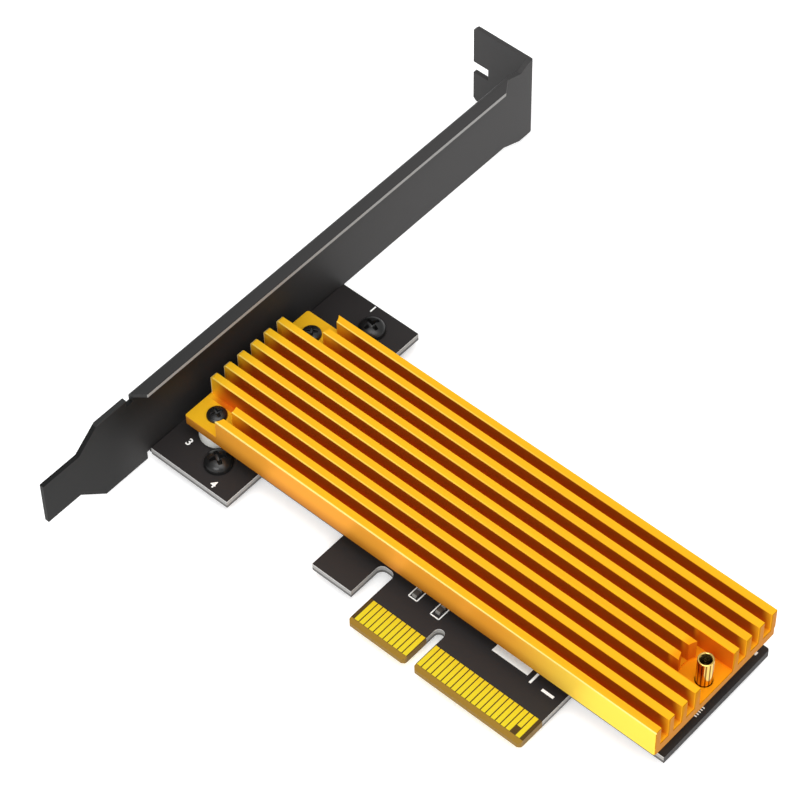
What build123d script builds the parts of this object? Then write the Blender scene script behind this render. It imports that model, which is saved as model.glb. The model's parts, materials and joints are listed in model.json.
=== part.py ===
from build123d import *
import os

os.makedirs("parts", exist_ok=True)

# Frame: X runs from the inner face of the bracket along the card, Y runs from the beveled
# contact edge towards the bent screw tab of the bracket, Z = 0 is the component side.

# circuit board
board_thick = 1.57
board_to_bracket = 0.3
block_end_x = 17.3
block_low_y = 4.4
block_high_y = 51.3
strip_end_past_post = 2.6
strip_low_y = 12.6
strip_high_y = 38.9
strip_corner = 0.3

# edge connector, measured from the centre of the key notch
key_centre_x = 60.1
key_width = 1.9
key_depth = 8.3
short_section = 11.65
long_section = 21.65
edge_corner = 0.45
bevel_run = 0.9
bevel_rise = 0.33
contact_pitch = 1.0
contact_width = 0.8
contact_plating = 0.04
contact_inner_y = 5.45
contact_outer_y = 0.9
short_contact_y = 2.5
key_margin = 0.55
short_section_count = 11
long_section_count = 21

# retention ear beside the contacts
ear_start_x = 36.0
ear_end_x = 44.3
ear_low_y = 4.4
ear_slot_y = 11.6
ear_slot_radius = 1.2
key_section_side_y = strip_low_y

# bracket sheet
sheet = 0.86
flange_fold_r = 1.0
tab_fold_r = 0.4
bracket_top_z = 15.98
bracket_width = 18.42
bracket_length = 120.02
tongue_end_y = -18.42
tongue_low_z = 2.5
tongue_high_z = 11.7
tongue_low_shoulder_y = -11.2
tongue_high_shoulder_y = -10.5
full_width_y = -5.9
plain_top_z = 15.6
flange_start_y = 1.9
flange_end_to_tab = 6.9
flange_reach = 1.95
flange_start_taper = 1.7
flange_end_taper = 2.8
relief_width = 1.3
relief_depth = 1.9
board_step_y = 3.75
lower_step_y = 51.7
raised_edge_z = -0.75
raised_edge_to_tab = 7.7
bend_dip_to_tab = 3.4
top_dip_z = 14.5
top_dip_end_to_tab = 1.2
screw_tab_reach = 13.0
screw_slot_width = 2.6
screw_slot_depth = 3.4
screw_slot_centre_z = 5.8
screw_tab_corner = 0.6

# folded ears of the bracket below the board and the screws through them
bracket_screw_x = 10.9
bracket_screw_low_y = 9.2
bracket_screw_high_y = 46.7
fold_ear_inner = 2.1
fold_ear_outer = 4.2
fold_ear_reach = 14.6
fold_ear_corner = 1.5
bracket_thread_r = 1.25
bracket_head_r = 2.45
bracket_head_h = 1.8
bracket_head_rounding = 1.3
bracket_screw_length = 3.0
bracket_cross_length = 2.7
bracket_cross_width = 0.75
bracket_cross_depth = 1.0

# heatsink
card_axis_y = 25.2
heatsink_start_x = 2.6
heatsink_length = 98.0
heatsink_width = 29.8
heatsink_gap = 3.0
heatsink_base = 1.8
heatsink_height = 6.0
fin_count = 10
fin_thick = 1.35
cut_back_x = 10.5
cut_back_fins = 2
cut_back_radius = 3.0
cut_back_overrun = 1.0
cut_back_side_gap = 0.05
heatsink_corner = 0.5
fin_tip_r = 0.6
pocket_sink = 0.4

# screws, spacers and nuts at the bracket end of the heatsink
corner_screw_x = 6.6
corner_screw_offset = 11.4
corner_thread_r = 1.0
corner_head_r = 1.78
corner_head_h = 0.85
corner_head_chamfer = 0.3
small_cross_length = 1.8
small_cross_width = 0.5
small_cross_depth = 0.55
screw_end_past_nut = 0.3
spacer_r = 3.25
nut_flats = 4.0
nut_height = 1.6
nut_chamfer = 0.25
thread_clearance = 0.15

# drive socket and the post that holds the drive
heatsink_past_drive = 18.0
drive_bottom_z = 0.5
drive_thick = 0.8
post_from_heatsink_end = 2.4
post_r = 1.35
post_top_z = 10.0
post_bore_r = 0.87
post_screw_r = 1.0
post_thread_depth = 5.0
post_rim_chamfer = 0.12
post_screw_entry = 3.5
post_screw_head_h = 0.9
post_screw_head_chamfer = 0.3
post_hole_clearance = 0.12
seat_r = 2.75
seat_past_post = 1.0
seat_clearance = 0.05
pad_thick = 0.5
pad_width = 21.0
pad_to_socket = 2.2
pad_to_seat = 2.8
socket_back_run = 3.2
socket_mouth_run = 4.2
socket_width = 21.9
socket_top_z = 2.25
socket_edge_chamfer = 0.2
mouth_width = 20.1
lip_low_z = 0.15
lip_top_z = 0.34
lip_back_run = 0.75
roof_z = 1.72
channel_run = 0.6
socket_key_offset = 6.125
socket_key_rib = 1.0
socket_key_gap = 0.9
spring_thick = 0.12
spring_width = 0.22
spring_pitch = 0.5
spring_row_count = 38
spring_tail = 0.95
upper_spring_back = 0.3
upper_spring_reach = 2.6
lower_spring_back = 0.5
lower_spring_reach = 3.4
hold_down_length = 2.2
hold_down_foot = 1.1
hold_down_thick = 0.15
hold_down_height = 1.5

# chips and capacitors on the board
chip_length = 1.6
chip_width = 0.8
chip_height = 0.45
capacitor_length = 3.2
capacitor_width = 1.6
capacitor_height = 1.0
chip_rounding = 0.06
first_chip_from_key = -7.6
second_chip_from_key = -2.7
chip_row_y = 10.85
capacitor_from_socket = 5.0
capacitor_row_y = 20.5
capacitor_pitch = 4.7

# derived levels and positions
board_under_z = -board_thick
bracket_low_z = bracket_top_z - bracket_width
screw_tab_y = tongue_end_y + bracket_length
flange_end_y = screw_tab_y - flange_end_to_tab
raised_edge_end_y = screw_tab_y - raised_edge_to_tab
bend_dip_y = screw_tab_y - bend_dip_to_tab
top_dip_end_y = screw_tab_y - top_dip_end_to_tab
heatsink_end_x = heatsink_start_x + heatsink_length
drive_length = heatsink_length - heatsink_past_drive
post_x = heatsink_end_x - post_from_heatsink_end
strip_end_x = post_x + strip_end_past_post
heatsink_low_y = card_axis_y - heatsink_width / 2
heatsink_high_y = card_axis_y + heatsink_width / 2
base_top_z = heatsink_gap + heatsink_base
heatsink_top_z = heatsink_gap + heatsink_height
fin_pitch = (heatsink_width - fin_thick) / (fin_count - 1)
fin_rise = heatsink_height - heatsink_base
cut_back_run = cut_back_x - heatsink_start_x + 2 * cut_back_overrun
cut_back_mid_x = cut_back_x - cut_back_run / 2
cut_back_span = cut_back_fins * fin_pitch + cut_back_overrun - cut_back_side_gap
cut_back_shift = (heatsink_width - cut_back_span) / 2 + cut_back_overrun
cut_back_ys = (card_axis_y - cut_back_shift, card_axis_y + cut_back_shift)
short_start_x = key_centre_x - key_width / 2 - short_section
short_end_x = key_centre_x - key_width / 2
long_start_x = key_centre_x + key_width / 2
long_end_x = long_start_x + long_section
post_pocket_r = (3 * fin_pitch - fin_thick) / 2
mate_x = post_x - drive_length
socket_back_x = mate_x - socket_back_run
socket_front_x = mate_x + socket_mouth_run
socket_half = socket_width / 2
lip_back_x = mate_x + lip_back_run
channel_x = mate_x - channel_run
socket_key_y = card_axis_y - socket_key_offset
pad_start_x = socket_front_x + pad_to_socket
pad_length = post_x - seat_r - pad_to_seat - pad_start_x
screw_ys = (bracket_screw_low_y, bracket_screw_high_y)
corner_ys = (card_axis_y - corner_screw_offset, card_axis_y + corner_screw_offset)
fold_ear_width = fold_ear_inner + fold_ear_outer
fold_ear_shift = (fold_ear_outer - fold_ear_inner) / 2
fold_ear_ys = (bracket_screw_low_y - fold_ear_shift, bracket_screw_high_y + fold_ear_shift)

# circuit board: block at the bracket, long strip below the heatsink, ear and two contact tongues
with BuildPart() as circuit_board:
    with BuildSketch(Plane.XY.offset(board_under_z)):
        with BuildLine():
            Polyline(
                (board_to_bracket, block_low_y),
                (block_end_x, block_low_y),
                (block_end_x, strip_low_y),
                (ear_start_x, strip_low_y),
                (ear_start_x, ear_low_y),
                (ear_end_x, ear_low_y),
                (ear_end_x, ear_slot_y),
                (short_start_x, ear_slot_y),
                (short_start_x, edge_corner),
                (short_start_x + edge_corner, 0),
                (short_end_x - edge_corner, 0),
                (short_end_x, edge_corner),
                (short_end_x, key_depth),
                (long_start_x, key_depth),
                (long_start_x, edge_corner),
                (long_start_x + edge_corner, 0),
                (long_end_x - edge_corner, 0),
                (long_end_x, edge_corner),
                (long_end_x, key_section_side_y),
                (strip_end_x, strip_low_y),
                (strip_end_x, strip_high_y),
                (block_end_x, strip_high_y),
                (block_end_x, block_high_y),
                (board_to_bracket, block_high_y),
                close=True,
            )
        make_face()
    extrude(amount=board_thick)
    upright = circuit_board.edges().filter_by(Axis.Z)
    key_end = upright.filter_by_position(Axis.Y, key_depth - 0.01, key_depth + 0.01)
    fillet(key_end, radius=key_width / 2 - 0.01)
    upright = circuit_board.edges().filter_by(Axis.Z)
    ear_slot = upright.filter_by_position(Axis.Y, ear_slot_y - 0.01, ear_slot_y + 0.01)
    fillet(ear_slot, radius=ear_slot_radius)
    upright = circuit_board.edges().filter_by(Axis.Z)
    far_corners = upright.filter_by_position(Axis.X, strip_end_x - 0.01, strip_end_x + 0.01)
    chamfer(far_corners.sort_by(Axis.Y)[-1:], length=strip_corner)
    # slanted cut on both faces along the contact edge
    with BuildSketch(Plane.YZ.offset(short_start_x - 1)):
        with BuildLine():
            Polyline((0, 0), (bevel_run, 0), (0, -bevel_rise), close=True)
        make_face()
        with BuildLine():
            Polyline(
                (0, board_under_z),
                (bevel_run, board_under_z),
                (0, board_under_z + bevel_rise),
                close=True,
            )
        make_face()
    extrude(amount=long_end_x - short_start_x + 2, mode=Mode.SUBTRACT)
    with Locations(*[(bracket_screw_x, y, 0) for y in screw_ys]):
        Hole(radius=bracket_thread_r + thread_clearance)
    with Locations(*[(corner_screw_x, y, 0) for y in corner_ys]):
        Hole(radius=corner_thread_r + thread_clearance)
    with Locations((post_x, card_axis_y, 0)):
        Hole(radius=post_screw_r + thread_clearance)
circuit_board.part.label = "circuit_board"
export_step(circuit_board.part, "parts/circuit_board.step")

# plated contact strips on the component side, one of them shorter at the contact edge
contact_length = contact_inner_y - contact_outer_y
contact_mid_y = (contact_inner_y + contact_outer_y) / 2
short_xs = [short_end_x - key_margin - i * contact_pitch for i in range(short_section_count)]
long_xs = [long_start_x + key_margin + i * contact_pitch for i in range(long_section_count)]
contact_xs = short_xs + long_xs
sensing_x = long_xs[-2]
full_xs = [x for x in contact_xs if x != sensing_x]
with BuildPart() as front_contacts:
    with BuildSketch(Plane.XY):
        with Locations(*[(x, contact_mid_y) for x in full_xs]):
            Rectangle(contact_width, contact_length)
        with Locations((sensing_x, (contact_inner_y + short_contact_y) / 2)):
            Rectangle(contact_width, contact_inner_y - short_contact_y)
    extrude(amount=contact_plating)
front_contacts.part.label = "component_side_contacts"
export_step(front_contacts.part, "parts/component_side_contacts.step")

with BuildPart() as back_contacts:
    with BuildSketch(Plane.XY.offset(board_under_z)):
        with Locations(*[(x, contact_mid_y) for x in contact_xs]):
            Rectangle(contact_width, contact_length)
    extrude(amount=-contact_plating)
back_contacts.part.label = "solder_side_contacts"
export_step(back_contacts.part, "parts/solder_side_contacts.step")

# bracket: one folded sheet with a tongue, a stiffening flange, a screw tab and two board ears
with BuildPart() as bracket:
    with BuildSketch(Plane.YZ):
        with BuildLine():
            Polyline(
                (tongue_end_y, tongue_low_z),
                (tongue_low_shoulder_y, tongue_low_z),
                (full_width_y, bracket_low_z),
                (board_step_y, bracket_low_z),
                (board_step_y, raised_edge_z),
                (raised_edge_end_y, raised_edge_z),
                (bend_dip_y, bracket_low_z),
                (screw_tab_y, bracket_low_z),
                (screw_tab_y, plain_top_z),
                (top_dip_end_y, plain_top_z),
                (bend_dip_y, top_dip_z),
                (flange_end_y, plain_top_z),
                (flange_end_y, bracket_top_z),
                (flange_start_y, bracket_top_z),
                (flange_start_y, bracket_top_z - relief_depth),
                (flange_start_y - relief_width, bracket_top_z - relief_depth),
                (flange_start_y - relief_width, plain_top_z),
                (full_width_y, plain_top_z),
                (tongue_high_shoulder_y, tongue_high_z),
                (tongue_end_y, tongue_high_z),
                close=True,
            )
        make_face()
    extrude(amount=-sheet)
    # stiffening flange along the component side, tapered at both ends
    with BuildSketch(Plane.XY.offset(bracket_top_z)):
        with BuildLine():
            Polyline(
                (-sheet, flange_start_y),
                (0, flange_start_y),
                (flange_reach, flange_start_y + flange_start_taper),
                (flange_reach, flange_end_y - flange_end_taper),
                (0, flange_end_y),
                (-sheet, flange_end_y),
                close=True,
            )
        make_face()
    extrude(amount=-sheet)
    # ears folded below the board, joined to the lower edge of the sheet
    for ear_y in fold_ear_ys:
        with BuildSketch(Plane.XY.offset(board_under_z)):
            with Locations(((fold_ear_reach - sheet) / 2, ear_y)):
                Rectangle(fold_ear_reach + sheet, fold_ear_width)
        extrude(amount=-sheet)
        with BuildSketch(Plane.YZ):
            with Locations((ear_y, (raised_edge_z + board_under_z) / 2)):
                Rectangle(fold_ear_width, raised_edge_z - board_under_z)
        extrude(amount=-sheet)
    # screw tab bent outwards with a slot open at its outer edge
    with BuildSketch(Plane.XZ.offset(-screw_tab_y)):
        with Locations((-screw_tab_reach / 2, (plain_top_z + bracket_low_z) / 2)):
            Rectangle(screw_tab_reach, plain_top_z - bracket_low_z)
    extrude(amount=sheet)
    with BuildSketch(Plane.XZ.offset(-screw_tab_y)):
        with Locations((-screw_tab_reach + screw_slot_depth / 2, screw_slot_centre_z)):
            Rectangle(screw_slot_depth, screw_slot_width)
    extrude(amount=sheet, mode=Mode.SUBTRACT)
    tab_corners = bracket.edges().filter_by(Axis.Y)
    tab_corners = tab_corners.filter_by_position(Axis.X, -screw_tab_reach - 0.01, 0.01 - screw_tab_reach)
    tab_corners = tab_corners.sort_by(Axis.Z)
    chamfer([tab_corners[0], tab_corners[-1]], length=screw_tab_corner)
    ear_corners = bracket.edges().filter_by(Axis.Z)
    ear_corners = ear_corners.filter_by_position(Axis.X, fold_ear_reach - 0.01, fold_ear_reach + 0.01)
    fillet(ear_corners, radius=fold_ear_corner)
    # rounded folds
    along = bracket.edges().filter_by(Axis.Y)
    flange_fold = along.filter_by_position(Axis.Z, bracket_top_z - 0.01, bracket_top_z + 0.01)
    fillet(flange_fold.sort_by(Axis.X)[0], radius=flange_fold_r)
    upright = bracket.edges().filter_by(Axis.Z)
    tab_fold = upright.filter_by_position(Axis.Y, screw_tab_y - 0.01, screw_tab_y + 0.01)
    fillet(tab_fold.sort_by(Axis.X)[-1], radius=tab_fold_r)
    with Locations(*[(bracket_screw_x, y, 0) for y in screw_ys]):
        Hole(radius=bracket_thread_r)
bracket.part.label = "bracket"
export_step(bracket.part, "parts/bracket.step")

# heatsink: one base with straight fins, cut back round the corner screws and round the post
with BuildPart() as heatsink:
    with BuildSketch(Plane.XY.offset(heatsink_gap)):
        with Locations(((heatsink_start_x + heatsink_end_x) / 2, card_axis_y)):
            RectangleRounded(heatsink_length, heatsink_width, heatsink_corner)
    extrude(amount=heatsink_base)
    with BuildSketch(Plane.XY.offset(base_top_z)):
        with Locations(((heatsink_start_x + heatsink_end_x) / 2, card_axis_y)):
            with GridLocations(1, fin_pitch, 1, fin_count):
                RectangleRounded(heatsink_length, fin_thick, heatsink_corner / 2)
        with Locations(*[(cut_back_mid_x, y) for y in cut_back_ys]):
            RectangleRounded(cut_back_run, cut_back_span, cut_back_radius, mode=Mode.SUBTRACT)
    extrude(amount=fin_rise)
    # round pocket at the post, sunk a little into the base and open at the far end
    with BuildSketch(Plane.XY.offset(base_top_z - pocket_sink)):
        with Locations((post_x, card_axis_y)):
            Circle(post_pocket_r)
        with Locations((post_x + post_pocket_r, card_axis_y)):
            Rectangle(2 * post_pocket_r, 2 * post_pocket_r)
    extrude(amount=fin_rise + pocket_sink, mode=Mode.SUBTRACT)
    # rounded upper corners of the fins beside the bracket
    with BuildSketch(Plane.XZ.offset(-heatsink_high_y)):
        with Locations((heatsink_start_x + fin_tip_r / 2, heatsink_top_z - fin_tip_r / 2)):
            Rectangle(fin_tip_r, fin_tip_r)
        with Locations((heatsink_start_x + fin_tip_r, heatsink_top_z - fin_tip_r)):
            Circle(fin_tip_r, mode=Mode.SUBTRACT)
    extrude(amount=heatsink_width, mode=Mode.SUBTRACT)
    with Locations(*[(corner_screw_x, y, base_top_z) for y in corner_ys]):
        Hole(radius=corner_thread_r + thread_clearance)
    with Locations((post_x, card_axis_y, base_top_z)):
        Hole(radius=post_r + post_hole_clearance)
heatsink.part.label = "heatsink"
export_step(heatsink.part, "parts/heatsink.step")

# soft heat pad below the heatsink, over the drive bay
with BuildPart() as thermal_pad:
    with BuildSketch(Plane.XY.offset(heatsink_gap)):
        with Locations((pad_start_x + pad_length / 2, card_axis_y)):
            Rectangle(pad_length, pad_width)
    extrude(amount=-pad_thick)
thermal_pad.part.label = "thermal_pad"
export_step(thermal_pad.part, "parts/thermal_pad.step")

# spacer rings between board and heatsink
for index, corner_y in enumerate(corner_ys, start=1):
    with BuildPart() as spacer:
        with BuildSketch(Plane.XY):
            with Locations((corner_screw_x, corner_y)):
                Circle(spacer_r)
                Circle(corner_thread_r + thread_clearance, mode=Mode.SUBTRACT)
        extrude(amount=heatsink_gap)
    spacer.part.label = f"heatsink_spacer_{index}"
    export_step(spacer.part, f"parts/heatsink_spacer_{index}.step")

# screws at the bracket end of the heatsink
corner_grip = base_top_z + board_thick + nut_height + screw_end_past_nut
with BuildPart() as heatsink_screws:
    with Locations(*[(corner_screw_x, y, base_top_z) for y in corner_ys]):
        Cylinder(corner_head_r, corner_head_h, align=(Align.CENTER, Align.CENTER, Align.MIN))
    chamfer(heatsink_screws.edges().group_by(Axis.Z)[-1], length=corner_head_chamfer)
    with Locations(*[(corner_screw_x, y, base_top_z) for y in corner_ys]):
        Cylinder(corner_thread_r, corner_grip, align=(Align.CENTER, Align.CENTER, Align.MAX))
    with Locations(*[(corner_screw_x, y, base_top_z + corner_head_h) for y in corner_ys]):
        Box(small_cross_length, small_cross_width, 2 * small_cross_depth, mode=Mode.SUBTRACT)
        Box(small_cross_width, small_cross_length, 2 * small_cross_depth, mode=Mode.SUBTRACT)
heatsink_screws.part.label = "heatsink_screws"
export_step(heatsink_screws.part, "parts/heatsink_screws.step")

# nuts of those screws on the solder side
with BuildPart() as heatsink_nuts:
    with BuildSketch(Plane.XY.offset(board_under_z)):
        with Locations(*[(corner_screw_x, y) for y in corner_ys]):
            RegularPolygon(nut_flats / 2, 6, major_radius=False)
            Circle(corner_thread_r, mode=Mode.SUBTRACT)
    extrude(amount=-nut_height)
    chamfer(heatsink_nuts.edges().filter_by(GeomType.LINE).group_by(Axis.Z)[0], length=nut_chamfer)
heatsink_nuts.part.label = "heatsink_nuts"
export_step(heatsink_nuts.part, "parts/heatsink_nuts.step")

# screws that clamp the board to the folded ears of the bracket
with BuildPart() as bracket_screws:
    with Locations(*[(bracket_screw_x, y, 0) for y in screw_ys]):
        Cylinder(bracket_head_r, bracket_head_h, align=(Align.CENTER, Align.CENTER, Align.MIN))
    fillet(bracket_screws.edges().group_by(Axis.Z)[-1], radius=bracket_head_rounding)
    with Locations(*[(bracket_screw_x, y, 0) for y in screw_ys]):
        Cylinder(bracket_thread_r, bracket_screw_length, align=(Align.CENTER, Align.CENTER, Align.MAX))
    with Locations(*[(bracket_screw_x, y, bracket_head_h) for y in screw_ys]):
        Box(bracket_cross_length, bracket_cross_width, 2 * bracket_cross_depth, mode=Mode.SUBTRACT)
        Box(bracket_cross_width, bracket_cross_length, 2 * bracket_cross_depth, mode=Mode.SUBTRACT)
bracket_screws.part.label = "bracket_screws"
export_step(bracket_screws.part, "parts/bracket_screws.step")

# post at the far end: a turned tube with a thread from either end
with BuildPart() as retaining_post:
    with BuildSketch(Plane.XY):
        with Locations((post_x, card_axis_y)):
            Circle(post_r)
    extrude(amount=post_top_z)
    chamfer(retaining_post.edges().group_by(Axis.Z)[-1], length=post_rim_chamfer)
    with Locations((post_x, card_axis_y, post_top_z)):
        Hole(radius=post_bore_r, depth=post_thread_depth)
    with Locations((post_x, card_axis_y, 0)):
        Cylinder(
            post_screw_r,
            post_screw_entry + screw_end_past_nut,
            align=(Align.CENTER, Align.CENTER, Align.MIN),
            mode=Mode.SUBTRACT,
        )
retaining_post.part.label = "retaining_post"
export_step(retaining_post.part, "parts/retaining_post.step")

# screw that holds the post from the solder side
with BuildPart() as post_screw:
    with BuildSketch(Plane.XY.offset(board_under_z)):
        with Locations((post_x, card_axis_y)):
            Circle(corner_head_r)
    extrude(amount=-post_screw_head_h)
    chamfer(post_screw.edges().group_by(Axis.Z)[0], length=post_screw_head_chamfer)
    with BuildSketch(Plane.XY.offset(board_under_z)):
        with Locations((post_x, card_axis_y)):
            Circle(post_screw_r)
    extrude(amount=board_thick + post_screw_entry)
    with Locations((post_x, card_axis_y, board_under_z - post_screw_head_h)):
        Box(small_cross_length, small_cross_width, 2 * small_cross_depth, mode=Mode.SUBTRACT)
        Box(small_cross_width, small_cross_length, 2 * small_cross_depth, mode=Mode.SUBTRACT)
post_screw.part.label = "post_screw"
export_step(post_screw.part, "parts/post_screw.step")

# open flat ring on the board that carries the end of the drive
with BuildPart() as drive_seat:
    with BuildSketch(Plane.XY):
        with Locations((post_x, card_axis_y)):
            Circle(seat_r)
            Circle(post_r + seat_clearance, mode=Mode.SUBTRACT)
        with Locations((post_x + seat_past_post + seat_r, card_axis_y)):
            Rectangle(2 * seat_r, 2 * seat_r, mode=Mode.SUBTRACT)
    extrude(amount=drive_bottom_z)
drive_seat.part.label = "drive_seat"
export_step(drive_seat.part, "parts/drive_seat.step")

# drive socket: back wall, roof and lower lip joined by two cheeks and the key rib
with BuildPart() as socket_housing:
    with BuildSketch(Plane.XY):
        with Locations(((socket_back_x + socket_front_x) / 2, card_axis_y)):
            Rectangle(socket_front_x - socket_back_x, 2 * socket_half)
    extrude(amount=socket_top_z)
    chamfer(socket_housing.edges().filter_by(Axis.Y).group_by(Axis.Z)[-1], length=socket_edge_chamfer)
    # mouth for the drive, and the clear channels for the contact tails below it
    with BuildSketch(Plane.XZ.offset(-card_axis_y)):
        with BuildLine():
            Polyline(
                (socket_back_x, 0),
                (socket_front_x, 0),
                (socket_front_x, lip_low_z),
                (lip_back_x, lip_low_z),
                (lip_back_x, lip_top_z),
                (socket_front_x, lip_top_z),
                (socket_front_x, roof_z),
                (channel_x, roof_z),
                (channel_x, lip_low_z),
                (socket_back_x, lip_low_z),
                close=True,
            )
        make_face()
    extrude(amount=mouth_width / 2, both=True, mode=Mode.SUBTRACT)
    with BuildSketch(Plane.XY.offset(lip_low_z)):
        with Locations(((mate_x + socket_front_x) / 2, socket_key_y)):
            Rectangle(socket_front_x - mate_x, socket_key_rib)
    extrude(amount=roof_z - lip_low_z)
socket_housing.part.label = "socket_housing"
export_step(socket_housing.part, "parts/socket_housing.step")

# contact springs of the socket: one row rises behind the mouth, the other loops round the lip
drive_top_z = drive_bottom_z + drive_thick
row_start_y = card_axis_y - (spring_row_count - 1) * spring_pitch / 2
upper_row = [row_start_y + i * spring_pitch for i in range(spring_row_count)]
lower_row = [y + spring_pitch / 2 for y in upper_row[:-1]]
upper_ys = [y for y in upper_row if abs(y - socket_key_y) > socket_key_gap]
lower_ys = [y for y in lower_row if abs(y - socket_key_y) > socket_key_gap]
upper_rise_x = mate_x - upper_spring_back
upper_tip_x = mate_x + upper_spring_reach
lower_rise_x = mate_x + lower_spring_back
lower_tip_x = mate_x + lower_spring_reach
upper_tail_x = socket_back_x - spring_tail
lower_tail_x = socket_front_x + spring_tail
with BuildPart() as upper_springs:
    for y in upper_ys:
        with BuildSketch(Plane.XZ.offset(-y)):
            with BuildLine():
                Polyline(
                    (upper_tail_x, 0),
                    (upper_rise_x, 0),
                    (upper_rise_x, drive_top_z),
                    (upper_tip_x, drive_top_z),
                    (upper_tip_x, drive_top_z + spring_thick),
                    (upper_rise_x - spring_thick, drive_top_z + spring_thick),
                    (upper_rise_x - spring_thick, spring_thick),
                    (upper_tail_x, spring_thick),
                    close=True,
                )
            make_face()
        extrude(amount=spring_width / 2, both=True)
upper_springs.part.label = "socket_upper_contacts"
export_step(upper_springs.part, "parts/socket_upper_contacts.step")

with BuildPart() as lower_springs:
    for y in lower_ys:
        with BuildSketch(Plane.XZ.offset(-y)):
            with BuildLine():
                Polyline(
                    (lower_tail_x, 0),
                    (lower_rise_x, 0),
                    (lower_rise_x, drive_bottom_z),
                    (lower_tip_x, drive_bottom_z),
                    (lower_tip_x, drive_bottom_z - spring_thick),
                    (lower_rise_x + spring_thick, drive_bottom_z - spring_thick),
                    (lower_rise_x + spring_thick, spring_thick),
                    (lower_tail_x, spring_thick),
                    close=True,
                )
            make_face()
        extrude(amount=spring_width / 2, both=True)
lower_springs.part.label = "socket_lower_contacts"
export_step(lower_springs.part, "parts/socket_lower_contacts.step")

# metal hold-downs at the ends of the socket
for index, side in enumerate((-1, 1), start=1):
    cheek_y = card_axis_y + side * socket_half
    with BuildPart() as hold_down:
        with BuildSketch(Plane.XY):
            with Locations((mate_x + hold_down_length / 2, cheek_y + side * hold_down_foot / 2)):
                Rectangle(hold_down_length, hold_down_foot)
        extrude(amount=hold_down_thick)
        with BuildSketch(Plane.XY):
            with Locations((mate_x + hold_down_length / 2, cheek_y + side * hold_down_thick / 2)):
                Rectangle(hold_down_length, hold_down_thick)
        extrude(amount=hold_down_height)
    hold_down.part.label = f"socket_hold_down_{index}"
    export_step(hold_down.part, f"parts/socket_hold_down_{index}.step")

# small surface parts: two chips beside the contacts and two supply capacitors by the socket
chip_xs = (key_centre_x + first_chip_from_key, key_centre_x + second_chip_from_key)
for index, chip_x in enumerate(chip_xs, start=1):
    with BuildPart() as chip:
        with BuildSketch(Plane.XY):
            with Locations((chip_x, chip_row_y)):
                Rectangle(chip_width, chip_length)
        extrude(amount=chip_height)
        fillet(chip.edges().filter_by(Axis.Z), radius=chip_rounding)
    chip.part.label = f"signal_part_{index}"
    export_step(chip.part, f"parts/signal_part_{index}.step")

for index in (1, 2):
    capacitor_y = capacitor_row_y + (index - 1) * capacitor_pitch
    with BuildPart() as capacitor:
        with BuildSketch(Plane.XY):
            with Locations((socket_front_x + capacitor_from_socket, capacitor_y)):
                Rectangle(capacitor_width, capacitor_length)
        extrude(amount=capacitor_height)
        fillet(capacitor.edges().filter_by(Axis.Z), radius=chip_rounding)
    capacitor.part.label = f"filter_capacitor_{index}"
    export_step(capacitor.part, f"parts/filter_capacitor_{index}.step")
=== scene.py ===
# %% [markdown]
# # A plug-in adapter card, dressed for its picture
# The card is a flat black circuit board with a folded metal bracket at one end. A gold finned
# heatsink stands on spacers above it, and a row of gold contacts runs along its lower edge.
# The solids come from the CAD frame in metres. This lesson gives them finishes, rounds the
# machined edges that catch the light, prints the white marks and sets up a small studio.

# %% Open the frame
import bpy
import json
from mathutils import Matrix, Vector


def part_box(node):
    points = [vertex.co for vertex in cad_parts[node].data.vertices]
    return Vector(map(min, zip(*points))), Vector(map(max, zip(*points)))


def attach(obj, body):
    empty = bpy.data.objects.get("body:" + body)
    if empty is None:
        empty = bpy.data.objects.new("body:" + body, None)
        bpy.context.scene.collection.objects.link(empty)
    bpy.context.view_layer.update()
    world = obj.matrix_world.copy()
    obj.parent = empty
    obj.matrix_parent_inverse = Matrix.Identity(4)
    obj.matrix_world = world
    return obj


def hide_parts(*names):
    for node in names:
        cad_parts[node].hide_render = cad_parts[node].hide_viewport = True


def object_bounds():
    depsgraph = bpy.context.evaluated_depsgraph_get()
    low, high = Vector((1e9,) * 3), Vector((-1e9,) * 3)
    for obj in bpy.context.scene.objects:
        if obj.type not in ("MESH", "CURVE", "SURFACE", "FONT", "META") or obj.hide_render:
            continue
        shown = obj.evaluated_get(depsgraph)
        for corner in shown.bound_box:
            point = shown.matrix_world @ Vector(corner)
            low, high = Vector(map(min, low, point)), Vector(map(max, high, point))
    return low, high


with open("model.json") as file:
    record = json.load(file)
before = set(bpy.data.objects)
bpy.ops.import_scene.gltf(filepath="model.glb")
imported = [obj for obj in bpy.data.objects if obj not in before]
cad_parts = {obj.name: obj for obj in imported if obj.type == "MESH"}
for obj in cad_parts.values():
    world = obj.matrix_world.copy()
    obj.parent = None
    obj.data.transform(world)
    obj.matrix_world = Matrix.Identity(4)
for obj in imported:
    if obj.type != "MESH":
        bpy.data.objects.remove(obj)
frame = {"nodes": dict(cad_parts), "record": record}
cad_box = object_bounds()
print("nodes in the frame:", len(frame["nodes"]))

# %% Libraries and units
import json
from math import radians
import bmesh
import bpy
import mathutils
import numpy as np
MM = 0.001
nodes_by_name = frame["nodes"]
slot_of_node = {part["node"]: part["material_slot"] for part in frame["record"]["subparts"]}


def box_of(node_name):
    """Lowest and highest corner of a CAD node, as arrays."""
    low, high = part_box(node_name)
    return np.array(low), np.array(high)


print("one millimetre is", MM, "metres")

# %% [markdown]
# ## Finishes
# A finish is a Principled shader with a few plain numbers: colour, metal or not, and roughness.
# Numbers that are the same all over sit on the shader's own sockets, so they also survive an
# export. Colours are written the way a paint program shows them, from 0 to 255, and turned into
# the linear values that Blender wants.

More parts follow.
